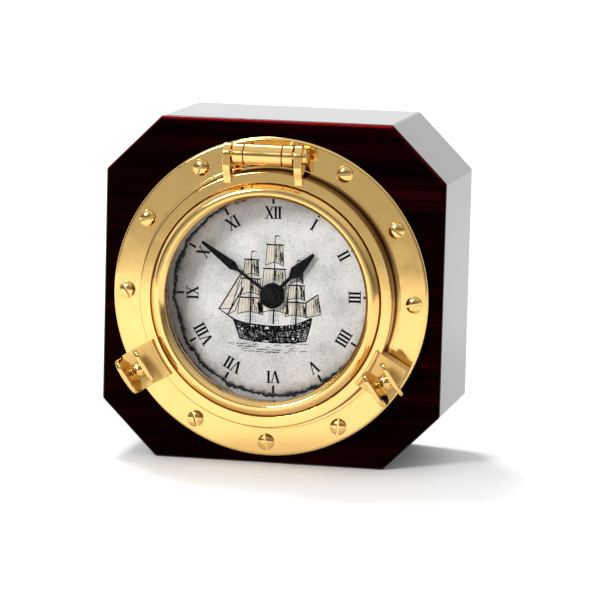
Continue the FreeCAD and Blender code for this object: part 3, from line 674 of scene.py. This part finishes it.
def make_hinge_arms():
    """The opening ring's two arms: an eye round the pin and a leg down to a foot on the ring's band."""
    outline = rounded(
        [
            (BEZEL_RADIUS - 4.1, BAND_FRONT - 0.1, 0),
            (BEZEL_RADIUS - 1.0, BAND_FRONT - 0.1, 0.2),
            (BEZEL_RADIUS + 0.6, HINGE_OUT - EYE_RADIUS, 1.4),
            (HINGE_RISE + EYE_RADIUS, HINGE_OUT - EYE_RADIUS, EYE_RADIUS),
            (HINGE_RISE + EYE_RADIUS, HINGE_OUT + EYE_RADIUS, EYE_RADIUS),
            (HINGE_RISE - 4.2, HINGE_OUT + EYE_RADIUS - 0.2, 3.4),
            (BEZEL_RADIUS - 2.2, BAND_FRONT + 1.5, 2.6),
            (BEZEL_RADIUS - 4.1, BAND_FRONT + 1.2, 0.5),
        ],
        10,
    )
    for side, start in (("left", -ARM_OUTER), ("right", ARM_INNER)):
        bm = cast(extrude(side_view(outline), RIGHT, start * MM, (ARM_OUTER - ARM_INNER) * MM), 0.14, 12)
        add_solid(f"arm_{side}", bm, "porthole", BRASS, f"hinge_arm_{side}", sharp=CAST_SHARP_ANGLE)


def barrel(profile):
    """A lathe bmesh about the hinge's axis, of (radius, x) points."""
    return lathe(profile, place(HINGE_X, HINGE_RISE, HINGE_OUT), RIGHT, UP, HINGE_SIDES)


def make_hinge_bracket():
    """The fixed bracket: a base on the flange, and two legs that end in the short knuckles."""
    knuckle = rounded(
        [
            (HINGE_RISE - 2.3, FLANGE_FRONT + 0.4, 0),
            (HINGE_RISE + 2.1, FLANGE_FRONT + 0.4, 0),
            (HINGE_RISE + BARREL_RADIUS, HINGE_OUT - 2.4, 2.0),
            (HINGE_RISE + BARREL_RADIUS, HINGE_OUT + BARREL_RADIUS, BARREL_RADIUS),
            (HINGE_RISE - BARREL_RADIUS, HINGE_OUT + BARREL_RADIUS, BARREL_RADIUS),
            (HINGE_RISE - BARREL_RADIUS, HINGE_OUT - 2.4, 2.0),
        ],
        10,
    )
    width = KNUCKLE_OUTER - (SLEEVE_REACH + 0.2)
    base = [
        (HINGE_RISE - 2.7, FLANGE_FRONT),
        (HINGE_RISE + 2.5, FLANGE_FRONT),
        (HINGE_RISE + 2.5, FLANGE_FRONT + 1.5),
        (HINGE_RISE - 2.7, FLANGE_FRONT + 1.5),
    ]
    bm = extrude(side_view(base), RIGHT, -KNUCKLE_OUTER * MM, 2 * KNUCKLE_OUTER * MM)
    for start in (-KNUCKLE_OUTER, KNUCKLE_OUTER - width):
        join(bm, extrude(side_view(knuckle), RIGHT, start * MM, width * MM))
    soften(add_solid("bracket", bm, "case", BRASS, "hinge_bracket"), 0.3, 4)


def make_hinge_barrel():
    """The long barrel between the knuckles."""
    bore = 1.3
    profile = rounded(
        [
            (bore, -SLEEVE_REACH, 0),
            (BARREL_RADIUS, -SLEEVE_REACH, 0.35),
            (BARREL_RADIUS, SLEEVE_REACH, 0.35),
            (bore, SLEEVE_REACH, 0),
        ]
    )
    keep_flat(add_solid("long_barrel", barrel(profile), "case", BRASS, "hinge_sleeve"))


def make_hinge_pin():
    """The pin through the hinge, with its domed head on the right and a riveted end on the left."""
    radius = 1.25
    head = half_size("hinge_pin", "z")
    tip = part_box("hinge_pin")[1].x / MM - HINGE_X
    profile = rounded(
        [
            (0, -ARM_OUTER, 0),
            (radius, -ARM_OUTER, 0.2),
            (radius, ARM_OUTER, 0),
            (head, ARM_OUTER, 0.2),
            (head, tip, 1.1),
            (0, tip, 0),
        ]
    )
    keep_flat(add_solid("pin", barrel(profile), "porthole", BRASS, "hinge_pin"))


# ------------------------------------------------------------------ dogs
def make_ear(side, angle):
    """An ear of the opening ring: a low rib, then a flat plate that the dog screws down on."""
    outline = rounded(
        [
            (RIB_INNER, BAND_FRONT - 0.1, 0),
            (BEZEL_RADIUS - 0.5, BAND_FRONT - 0.1, 0),
            (BEZEL_RADIUS - 0.5, EAR_BACK, 0),
            (EAR_REACH, EAR_BACK, 0.3),
            (EAR_REACH, EAR_SHELF, 0.5),
            (RIB_OUTER, EAR_SHELF, 0.15),
            (RIB_OUTER - 0.2, RIB_FRONT, 0.25),
            (RIB_INNER + 0.3, RIB_FRONT, 0.3),
        ],
        4,
    )
    radial = RIGHT * math.sin(math.radians(angle)) + UP * math.cos(math.radians(angle))
    across = radial.cross(OUT)
    slices = 12
    bm = bmesh.new()
    rows = []
    for i in range(slices + 1):
        offset = EAR_HALF_WIDTH * (2 * i / slices - 1)
        row = []
        for distance, out in outline:
            along = math.sqrt(distance**2 - offset**2)
            row.append(bm.verts.new(place(0, 0, out) + (radial * along + across * offset) * MM))
        rows.append(row)
    bm.faces.new(rows[0])
    bm.faces.new(list(reversed(rows[-1])))
    count = len(outline)
    for i in range(slices):
        for j in range(count):
            k = (j + 1) % count
            bm.faces.new([rows[i][k], rows[i][j], rows[i + 1][j], rows[i + 1][k]])
    soften(add_solid(f"ear_{side}", bm, "porthole", SATIN_BRASS, f"dog_ear_{side}"), 0.3, 3, 40)


def wing_half_width(share):
    """Half of a wing's width at a share of its height: narrow at the root, with rounded top corners."""
    root, full = 2.6, 6.0
    grown = root + (full - root) * min(1.0, share / 0.38) ** 0.55
    corner = max(0.0, (share - 0.74) / 0.26)
    return grown - 2.4 * (1 - math.sqrt(max(0.0, 1 - corner**2)))


def wing(bm, sign, back):
    """One flared wing of a dog about its own axis: x is away from the hub, y across the wing, z out."""
    columns, rows = 12, 20
    faces = {}
    for skin in (0, 1):
        for i in range(rows + 1):
            share = i / rows
            height = back + (WING_TOP - back) * share
            away = 2.0 + 1.5 * share**0.8
            half = wing_half_width(share)
            for j in range(columns + 1):
                across = half * (2 * j / columns - 1)
                edge = 1 - abs(2 * j / columns - 1) ** 4
                thick = 0.55 + 0.3 * edge
                x = sign * (away + (thick if skin else -thick))
                faces[skin, i, j] = bm.verts.new(Vector((x, across, height)) * MM)
    for i in range(rows):
        for j in range(columns):
            for skin in (0, 1):
                around = [(i, j), (i + 1, j), (i + 1, j + 1), (i, j + 1)]
                corners = [faces[skin, k, m] for k, m in around]
                bm.faces.new(corners if skin else list(reversed(corners)))
    rim = [(i, 0) for i in range(rows)] + [(rows, j) for j in range(columns)]
    rim += [(i, columns) for i in range(rows, 0, -1)] + [(0, j) for j in range(columns, 0, -1)]
    for number, (i, j) in enumerate(rim):
        k, m = rim[(number + 1) % len(rim)]
        bm.faces.new([faces[0, i, j], faces[0, k, m], faces[1, k, m], faces[1, i, j]])


def make_dog(side, angle, wing_angle):
    """A wing screw, cast in one: the shank, a round hub with a ball top, and two flared leaves."""
    tip = back_of(f"dog_{side}")
    hub = EAR_SHELF + 0.5
    root = hub + 1.3
    solid = bmesh.new()
    wing(solid, 1, root)
    wing(solid, -1, root)
    body = rounded(
        [(0, hub, 0), (2.7, hub, 0.3), (2.7, root + 1.4, 0.8), (1.8, root + 2.4, 0.8), (0, root + 2.9, 0)]
    )
    join(solid, lathe(body, Vector((0, 0, 0)), UP, RIGHT, SMALL_SIDES))
    saddle = rounded([(-2.9, root, 0.4), (2.9, root, 0.4), (3.1, root + 1.2, 0.3), (-3.1, root + 1.2, 0.3)])
    outline = [Vector((p[0], 0, p[1])) * MM for p in saddle]
    join(solid, extrude(outline, Vector((0, 1, 0)), -2.7 * MM, 5.4 * MM))
    bm = cast(solid, 0.16, 7)
    shank = rounded([(0, tip, 0), (1.5, tip, 0.4), (1.5, hub + 0.5, 0), (0, hub + 0.5, 0)])
    join(bm, lathe(shank, Vector((0, 0, 0)), UP, RIGHT, SMALL_SIDES))
    upright = Matrix.Rotation(math.radians(90), 4, "X")
    spin = Matrix.Rotation(math.radians(-wing_angle), 4, "Z")
    x, up = clock(DOG_CIRCLE, angle)
    bm.transform(Matrix.Translation(place(x, up, 0)) @ upright @ spin)
    name = f"wing_screw_{side}"
    # The dog takes the darker copy of the brass, whose colour holds painted shade.
    add_solid(name, bm, f"{side}_dog", SHADED_DOG_BRASS, f"dog_{side}", sharp=CAST_SHARP_ANGLE)


# ------------------------------------------------------------------ printing on the dial
class Ink:
    """Flat printed shapes on the dial, gathered into one mesh."""

    def __init__(self, name, level=0.03):
        self.name = name
        self.level = DIAL_FRONT + level
        self.bm = bmesh.new()

    def area(self, points):
        """Fill a flat outline of (x, up) points."""
        self.bm.faces.new([self.bm.verts.new(place(x, up, self.level)) for x, up in points])

    def stroke(self, points, start_width, end_width=None):
        """A line through points, as wide as said at its start and its end."""
        end_width = start_width if end_width is None else end_width
        path = [Vector(p) for p in points]
        sides = []
        for i, point in enumerate(path):
            ahead = path[min(i + 1, len(path) - 1)] - path[max(i - 1, 0)]
            across = Vector((-ahead.y, ahead.x)).normalized()
            width = start_width + (end_width - start_width) * i / (len(path) - 1)
            sides.append((point + across * width / 2, point - across * width / 2))
        for (a, b), (c, d) in zip(sides, sides[1:]):
            self.area([a, b, d, c])

    def clear_middle(self, radius, sides=24):
        """Cut the printing away round the dial's middle, where the nut and the spindles are."""
        middle = place(0, 0, self.level)
        turns = [2 * math.pi * i / sides for i in range(sides)]
        ways = [RIGHT * math.cos(turn) + UP * math.sin(turn) for turn in turns]
        for way in ways:
            geometry = self.bm.verts[:] + self.bm.edges[:] + self.bm.faces[:]
            bmesh.ops.bisect_plane(
                self.bm, geom=geometry, dist=1e-9, plane_co=middle + way * radius * MM, plane_no=way
            )
        inside = [
            face
            for face in self.bm.faces
            if max((face.calc_center_median() - middle).dot(way) for way in ways) < radius * MM
        ]
        bmesh.ops.delete(self.bm, geom=inside, context="FACES")

    def finish(self, material):
        """Add the printing to the case as a piece."""
        for face in self.bm.faces:
            if face.normal.y > 0:
                face.normal_flip()
        mesh = bpy.data.meshes.new(self.name)
        self.bm.to_mesh(mesh)
        self.bm.free()
        add_piece(self.name, mesh, "case", material)


def letter_strokes(letter, height):
    """A numeral letter's bars as (x, y, x, y, width), its serifs as (x, y, half width), and its width."""
    top, low, thick, thin = height / 2, -height / 2, 0.72, 0.32
    edge = SERIF / 2
    if letter == "I":
        bars = [(0, low, 0, top, thick)]
        feet = [(0, top - edge, 0.72), (0, low + edge, 0.72)]
        return bars, feet, 1.28
    if letter == "V":
        bars = [(-1.05, top, 0.1, low, thick), (1.1, top, 0.16, low, thin)]
        feet = [(-1.05, top - edge, 0.62), (1.1, top - edge, 0.52)]
        return bars, feet, 2.95
    bars = [(-1.0, top, 1.0, low, thick), (1.0, top, -1.0, low, thin)]
    feet = [(x, y, 0.55) for x in (-1.0, 1.0) for y in (top - edge, low + edge)]
    return bars, feet, 2.75


def make_numerals():
    """Twelve Roman numerals whose feet point at the centre, four written as four bars."""
    ink = Ink("dial_numerals")
    height, radius = 3.9, 25.9
    words = ["XII", "I", "II", "III", "IIII", "V", "VI", "VII", "VIII", "IX", "X", "XI"]
    for hour, word in enumerate(words):
        parts = [letter_strokes(letter, height) for letter in word]
        at = -sum(width for _, _, width in parts) / 2
        angle = math.radians(30 * hour + PRINT_TURN)

        def spot(x, y, shift):
            along, outward = x + shift, radius + y
            return (
                outward * math.sin(angle) + along * math.cos(angle),
                outward * math.cos(angle) - along * math.sin(angle),
            )

        for bars, feet, width in parts:
            shift = at + width / 2
            for x1, y1, x2, y2, thick in bars:
                ink.stroke([spot(x1, y1, shift), spot(x2, y2, shift)], thick)
            for x, y, half in feet:
                ink.stroke([spot(x - half, y, shift), spot(x + half, y, shift)], SERIF)
            at += width
    ink.finish(BLACK_INK)


def make_ticks():
    """A short bar at each hour, across the burnt line."""
    ink = Ink("dial_ticks")
    for hour in range(12):
        angle = 30 * hour + PRINT_TURN
        ink.stroke([clock(TICK_INNER, angle), clock(TICK_OUTER, angle)], TICK_WIDTH)
    ink.finish(BLACK_INK)


def bend(points, steps=8):
    """A smooth curve through points."""
    path = [Vector(p) for p in points]
    padded = [path[0] * 2 - path[1]] + path + [path[-1] * 2 - path[-2]]
    out = [path[0]]
    for before, start, end, after in zip(padded, padded[1:], padded[2:], padded[3:]):
        for step in range(1, steps + 1):
            t = step / steps
            out.append(
                0.5
                * (
                    2 * start
                    + (end - before) * t
                    + (2 * before - 5 * start + 4 * end - after) * t**2
                    + (3 * start - before - 3 * end + after) * t**3
                )
            )
    return out


def along(path, share):
    """The point at a share of the way along a list of points."""
    at = share * (len(path) - 1)
    i = min(int(at), len(path) - 2)
    return path[i].lerp(path[i + 1], at - i)


class Engraver:
    """Draws in ink with the uneven lines of an engraving."""

    def __init__(self, ink, seed):
        self.ink = ink
        self.random = random.Random(seed)

    def shaken(self, point, by):
        """A point moved a little at random."""
        return Vector((point[0] + self.random.uniform(-by, by), point[1] + self.random.uniform(-by, by)))

    def line(self, points, width, end_width=None, shake=0.04):
        """An uneven line."""
        self.ink.stroke([self.shaken(p, shake) for p in points], width, end_width)

    def firm(self, points, width, end_width=None):
        """A nearly even line."""
        self.line(points, width, end_width, 0.02)

    def strakes(self, upper, lower, rows, dashes, width, gap=0.1):
        """Fill the area between two curves with broken lines that run along it."""
        for row in range(rows):
            down = (row + 0.5) / rows
            for dash in range(dashes):
                if self.random.random() < gap:
                    continue
                ends = [dash / dashes, (dash + self.random.uniform(0.8, 1.15)) / dashes]
                points = [
                    along(upper, min(s, 1.0)).lerp(along(lower, min(s, 1.0)), down) for s in ends
                ]
                start_width = width * self.random.uniform(0.55, 1.3)
                self.line(points, start_width, width * self.random.uniform(0.4, 1.2))

    def hatch(self, left, right, count, width, lean=0.0):
        """Short strokes across the area between two curves."""
        for _ in range(count):
            share = self.random.random()
            start = along(left, share).lerp(along(right, share), self.random.uniform(0, 0.6))
            end = along(left, share).lerp(along(right, share), self.random.uniform(0.4, 1))
            end = end + Vector((0, lean))
            self.line([start, end], width * self.random.uniform(0.5, 1.4), 0.06)

    def rigging(self, top, feet, rungs, width=0.09):
        """Shrouds that spread from a mast's top to the hull, with ratlines across them."""
        for foot in feet:
            self.line([top, foot], width, shake=0.03)
        for rung in range(1, rungs):
            share = rung / rungs
            points = [Vector(top).lerp(Vector(foot), share) for foot in feet]
            self.line(points, width * 0.8)

    def sail(self, upper, lower, cloth, seams=7):
        """A sail between two edges: its pale cloth, its outline, its seams, and shade towards one side."""
        panels = 12
        for i in range(panels):
            left, right = i / panels, (i + 1) / panels
            cloth.area([along(upper, left), along(upper, right), along(lower, right), along(lower, left)])
        self.firm(upper, 0.42)
        self.firm(lower, 0.26)
        for share in (0.0, 1.0):
            self.firm([along(upper, share), along(lower, share)], 0.24)
        for i in range(1, seams):
            self.line([along(upper, i / seams), along(lower, i / seams)], 0.1, 0.07, 0.03)
        for _ in range(seams * 6):
            share = 1 - 0.5 * self.random.random() ** 1.4
            start = self.random.uniform(0, 0.75)
            end = min(1.0, start + self.random.uniform(0.2, 0.6))
            top, foot = along(upper, share), along(lower, share)
            self.line([top.lerp(foot, start), top.lerp(foot, end)], 0.17, 0.06)

    def pennant(self, at, length):
        """A flag flying from a mast's top."""
        x, y = at
        self.firm(bend([(x, y), (x + length * 0.5, y + 0.35), (x + length, y - 0.1)]), 0.5, 0.1)


def square_sail(middle, low, high, half_low, half_high):
    """The upper and lower edges of a square sail hung from a yard, with its foot arched."""
    upper = [Vector((middle - half_high, high)), Vector((middle + half_high, high))]
    arch = (high - low) * 0.16
    lower = bend([(middle - half_low, low), (middle, low + arch), (middle + half_low, low)])
    return upper, lower


def make_ship():
    """A plain three-masted ship seen from the side under full sail, made up for this dial."""
    canvas = plain_surface("dial_cream", (0.62, 0.56, 0.46), (0.78, 0.73, 0.64), 2.0, (0.5, 0.7), 0.002)
    pale = Ink("dial_ship_sails", 0.02)
    ink = Ink("dial_ship")
    pen = Engraver(ink, 11)

    rail = bend([(-12.6, -8.2), (-8, -9.3), (0, -9.8), (7, -9.0), (12.4, -6.6)])
    stripe = bend([(-12.0, -9.8), (-7, -10.9), (0, -11.3), (7, -10.6), (12.1, -8.8)])
    water = bend([(-10.4, -14.2), (-5, -14.8), (1, -15.0), (7, -14.7), (10.8, -14.0)])
    pen.strakes(rail, stripe, 4, 26, 0.5, 0.04)
    pen.strakes(stripe, water, 8, 24, 0.52, 0.05)
    pen.hatch(stripe, water, 60, 0.24, -0.2)
    for edge in (rail, stripe, water):
        pen.firm(edge, 0.34)
    for end in (0, -1):
        pen.firm([rail[end], stripe[end], water[end]], 0.4, 0.3)

    deck = -8.4
    pen.firm([(-12.2, deck), (-17.6, -5.0)], 0.55, 0.25)
    masts = [(-7.2, 11.6, 4.1), (0.2, 16.8, 4.8), (7.4, 9.4, 3.4)]
    for middle, top, half in masts:
        pen.firm([(middle, -9.2), (middle, (top - 9) / 2), (middle, top + 1.6)], 0.55, 0.22)
        rise = top - deck
        feet = [(middle + x, deck - 0.8) for x in (-1.6, -0.8, 0.9, 1.8)]
        pen.rigging((middle, deck + 0.7 * rise), feet, 14)
        for tier in range(3):
            low = deck + rise * (0.1 + 0.3 * tier)
            high = low + rise * 0.26
            low_half = half * (1 - 0.2 * tier)
            upper, lower = square_sail(middle, low, high, low_half, low_half * 0.86)
            pen.sail(upper, lower, pale)
            pen.firm([(middle - low_half, high + 0.1), (middle + low_half, high + 0.1)], 0.3)
        pen.pennant((middle, top + 1.6), 1.8)

    jibs = [((-17.2, -5.2), (-9.9, 7.3), (-13.4, -5.0)), ((-14.4, -6.8), (-9.6, 2.0), (-12.1, -5.6))]
    for tack, head, clew in jibs:
        pen.firm([tack, masts[0][:2]], 0.12)
        pen.sail([Vector(tack), Vector(head)], [Vector(clew), Vector(head)], pale, 3)
    gaff = [Vector((10.6, -1.8)), Vector((14.2, 0.8))]
    boom = [Vector((10.6, -6.6)), Vector((15.4, -5.4))]
    pen.sail(gaff, boom, pale, 5)
    for spar in (gaff, boom):
        pen.firm(spar, 0.34, 0.2)

    for row in range(5):
        for _ in range(9):
            x = pen.random.uniform(-15 + row, 12 - row)
            y = -15.2 - 0.75 * row
            length = pen.random.uniform(1.2, 3.4)
            pen.firm(bend([(x, y), (x + length / 2, y + 0.25), (x + length, y)]), 0.26, 0.08)
    for print_layer in (pale, ink):
        print_layer.clear_middle(NUT_CLEAR)
    pale.finish(canvas)
    ink.finish(BLACK_INK)


# ------------------------------------------------------------------ glass, and the CAD's own pieces
def make_glass():
    """The lens: a thin disc with polished edges."""
    back, front = back_of("lens"), front_of("lens")
    radius = half_size("lens")
    profile = rounded([(0, back, 0), (radius, back, 0.2), (radius, front, 0.2), (0, front, 0)])
    add_solid("glass", turned_about_porthole(profile), "porthole", clear_glass(), "lens")


def dress_cad_nodes():
    """Give every CAD node that is still shown the finish of its slot."""
    finishes = {
        "lacquered_wood": lacquered_wood(),
        "polished_brass": BRASS,
        "plain_brass": PLAIN_BRASS,
        "steel": turned_steel(),
        "black_rubber": plain_surface("rubber", (0.008,) * 3, (0.02,) * 3, 0.8, (0.6, 0.8), 0.01),
        "dial_paper": dial_paper(BURN_RADIUS),
        "black_paint": plain_surface(
            "hand_paint", (0.001,) * 3, (0.004,) * 3, 0.8, (0.35, 0.5), 0.001, 0.05
        ),
        "black_plastic": plain_surface(
            "black_plastic", (0.008,) * 3, (0.02,) * 3, 0.5, (0.35, 0.55), 0.01
        ),
        "white_plastic": plain_surface(
            "white_plastic", (0.6, 0.6, 0.57), (0.75, 0.75, 0.72), 1.0, (0.3, 0.5), 0.005
        ),
        "battery_label": plain_surface(
            "cell_label", (0.02, 0.05, 0.12), (0.03, 0.08, 0.18), 8, (0.2, 0.35), 0.003
        ),
        "black_board": plain_surface(
            "fibre_board", (0.01, 0.009, 0.008), (0.035, 0.03, 0.028), 0.6, (0.6, 0.9), 0.04
        ),
    }
    for part in frame["record"]["subparts"]:
        node = frame["nodes"][part["node"]]
        if node.hide_render:
            continue
        node.data.materials.clear()
        node.data.materials.append(finishes[part["material_slot"]])


# ------------------------------------------------------------------ the room
def make_floor():
    """A plain pale floor that runs far behind the clock and ends a little way in front of it."""
    shader = Shader("floor_paper")
    point = shader.object_point()
    shader.colour(shader.noise(point, 400, 3), (0.90,) * 3, (0.93,) * 3)
    shader.roughness(shader.noise(point, 60), 0.6, 0.8)
    low_z = CAD_BOX[0].z
    bm = bmesh.new()
    columns, rows = 12, 24
    front, behind, half = -0.46, 9.0, 5.0
    grid = [
        [
            bm.verts.new((half * (2 * i / columns - 1), front + (behind - front) * j / rows, low_z))
            for i in range(columns + 1)
        ]
        for j in range(rows + 1)
    ]
    for j in range(rows):
        for i in range(columns):
            bm.faces.new([grid[j][i], grid[j][i + 1], grid[j + 1][i + 1], grid[j + 1][i]])
    mesh = bpy.data.meshes.new("floor")
    bm.to_mesh(mesh)
    bm.free()
    floor = new_object("floor", mesh)
    floor.data.materials.append(shader.material)


def make_light(name, position, size, power):
    """A soft square light aimed at the clock, placed in metres."""
    data = bpy.data.lights.new(name, "AREA")
    data.size = size
    data.energy = power
    light = new_object(name, data)
    light.location = position
    aim = Vector((0, 0, 0.05)) - Vector(position)
    light.rotation_euler = aim.to_track_quat("-Z", "Y").to_euler()


def make_world():
    """A white studio behind and overhead, dark in front above the horizon, and mid grey below it."""
    world = bpy.data.worlds.new("studio")
    bpy.context.scene.world = world
    world.use_nodes = True
    nodes = Nodes(world.node_tree)
    direction = nodes.add("TexCoord")
    split = nodes.add("SeparateXYZ")
    nodes.link(direction.outputs["Generated"], split.inputs["Vector"])

    def greys(axis, stops):
        """A grey that goes with the direction along an axis, in (position, level) stops from -1 to 1."""
        span = nodes.add("MapRange", From_Min=-1)
        nodes.link(split.outputs[axis], span.inputs["Value"])
        return nodes.ramp(span.outputs["Result"], [(position, (level,) * 3) for position, level in stops])

    ahead = greys("Z", [(0.0, 0.6), (0.48, 0.6), (0.51, 0.2), (0.57, 0.2), (0.68, 0.42), (0.93, 0.9)])
    behind = greys("Z", [(0.0, 0.5), (0.45, 1.0), (0.5, 1.3), (0.65, 1.2), (0.8, 0.9)])
    mixed = nodes.add("Mix", data_type="RGBA")
    nodes.link(greys("Y", [(0.42, 0.0), (0.56, 1.0)]), mixed.inputs["Factor"])
    nodes.link(ahead, mixed.inputs["A"])
    nodes.link(behind, mixed.inputs["B"])
    nodes.link(mixed.outputs["Result"], world.node_tree.nodes["Background"].inputs["Color"])


def make_camera():
    """The camera: slightly right of the front and above, with a long lens and a small roll."""
    turn, height, roll = math.radians(11.509), math.radians(7.982), math.radians(1.474)
    aside, rise, distance = 8.79, -2.22, 1212.9
    back = Vector((math.sin(turn) * math.cos(height), -math.cos(turn) * math.cos(height), math.sin(height)))
    level = Vector((math.cos(turn), math.sin(turn), 0))
    upright = level.cross(-back)
    right = math.cos(roll) * level + math.sin(roll) * upright
    up = -math.sin(roll) * level + math.cos(roll) * upright
    middle = Vector((0, WOOD_FACE, (BLOCK_LOW.z + BLOCK_HIGH.z) / 2))
    position = middle + (right * aside + up * rise + back * distance) * MM
    data = bpy.data.cameras.new("camera")
    data.sensor_width = 36
    data.lens = 233.58
    data.clip_start = 0.01
    data.clip_end = 50
    camera = new_object("camera", data)
    camera.matrix_world = Matrix.Translation(position) @ Matrix((right, up, back)).transposed().to_4x4()
    bpy.context.scene.camera = camera


make_flange()
make_opening_ring()
make_screws()
make_hinge_arms()
make_hinge_bracket()
make_hinge_barrel()
make_hinge_pin()
for side, angle in DOG_ANGLES.items():
    make_ear(side, angle)
    make_dog(side, angle, WING_ANGLES[side])
make_numerals()
make_ticks()
make_ship()
make_glass()
dress_cad_nodes()
make_floor()
make_light("key", (-1.2, 1.7, 3.3), 0.9, 80)
make_light("fill", (-0.8, -1.75, 0.95), 0.5, 31)
make_world()
make_camera()
bpy.context.scene.view_settings.view_transform = "Standard"
